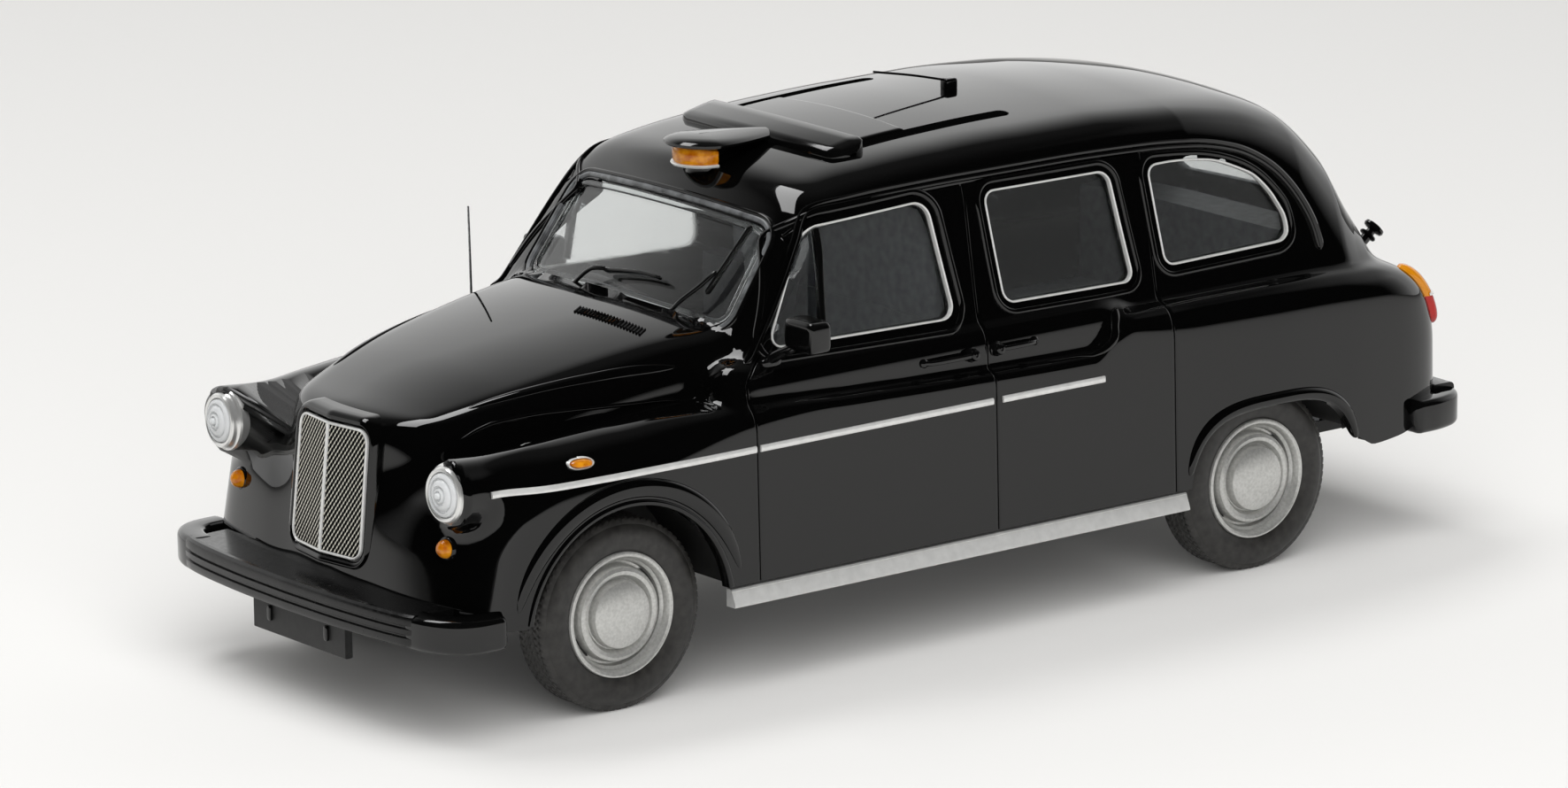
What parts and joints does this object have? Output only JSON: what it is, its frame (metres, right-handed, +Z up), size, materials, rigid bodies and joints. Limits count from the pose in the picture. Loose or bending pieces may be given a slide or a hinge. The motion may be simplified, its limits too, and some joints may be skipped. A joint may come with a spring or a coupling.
{
  "type": "model taxi",
  "caption": "Scale model of a classic black taxi cab: cast shell with clear windows, moulded trim and a hollow cabin on a base plate, with two steel axle rods that roll",
  "frame": {"origin": "ground under the middle of the length and width", "axes": "+X forward, +Y the car's left, +Z up"},
  "size_m": [0.1082, 0.0458, 0.0428],
  "materials": {
    "black_enamel": "high gloss lacquer over cast zinc",
    "clear_polystyrene": "clear moulded panes",
    "silver_print": "thin silver foil and print",
    "seal_grey": "printed grey seal",
    "chassis_black": "moulded black, fine satin",
    "interior_grey": "moulded dark grey",
    "seat_grey": "moulded seat",
    "bumper_black": "moulded black bumper",
    "gloss_black": "polished black moulding",
    "etched_steel": "photo-etched grille",
    "plated_plastic": "vacuum plated moulding",
    "lamp_clear": "clear jewel",
    "lamp_amber": "amber jewel",
    "lamp_tail": "red and amber jewel",
    "steel_rod": "bright drawn steel",
    "rim_silver": "silver paint",
    "tyre_rubber": "soft black tyre"
  },
  "bodies": {
    "chassis": {"body_shell": "black_enamel", "side_glazing_left": "clear_polystyrene", "side_glazing_right": "clear_polystyrene", "windscreen_glass": "clear_polystyrene", "rear_window_glass": "clear_polystyrene", "window_mouldings": "silver_print", "windscreen_seal": "seal_grey", "rear_window_seal": "seal_grey", "base_plate": "chassis_black", "interior_tub": "interior_grey", "driver_seat": "seat_grey", "steering_wheel": "chassis_black", "grille_surround": "gloss_black", "grille_mesh": "etched_steel", "headlamp_bezels": "plated_plastic", "headlamp_lenses": "lamp_clear", "indicator_bases": "gloss_black", "front_indicators": "lamp_amber", "side_repeaters": "lamp_amber", "tail_lamps": "lamp_tail", "front_bumper": "bumper_black", "rear_bumper": "gloss_black", "front_bumper_caps": "gloss_black", "rear_bumper_caps": "gloss_black", "front_plate_holder": "bumper_black", "rear_plate_holder": "bumper_black", "roof_sign_housing": "gloss_black", "roof_sign_lens": "lamp_amber", "roof_deflector": "gloss_black", "roof_aerial": "chassis_black", "wiper_right": "chassis_black", "wiper_left": "chassis_black", "wing_aerial": "steel_rod", "scuttle_vent": "etched_steel", "mirror_left": "gloss_black", "mirror_right": "gloss_black", "door_handles": "plated_plastic", "side_strips": "silver_print", "sill_trims": "silver_print", "fuel_cap": "gloss_black", "exhaust": "chassis_black"},
    "front_axle": {"front_axle_rod": "steel_rod", "front_rims": "rim_silver", "front_tyres": "tyre_rubber"},
    "rear_axle": {"rear_axle_rod": "steel_rod", "rear_rims": "rim_silver", "rear_tyres": "tyre_rubber"}
  },
  "joints": [
    {"name": "front_axle_spin", "type": "hinge", "parent": "chassis", "child": "front_axle", "pos_m": [0.0343, 0, 0.00773], "axis": [0, 1, 0], "continuous": true},
    {"name": "rear_axle_spin", "type": "hinge", "parent": "chassis", "child": "rear_axle", "pos_m": [-0.03105, 0, 0.00773], "axis": [0, 1, 0], "continuous": true}
  ]
}
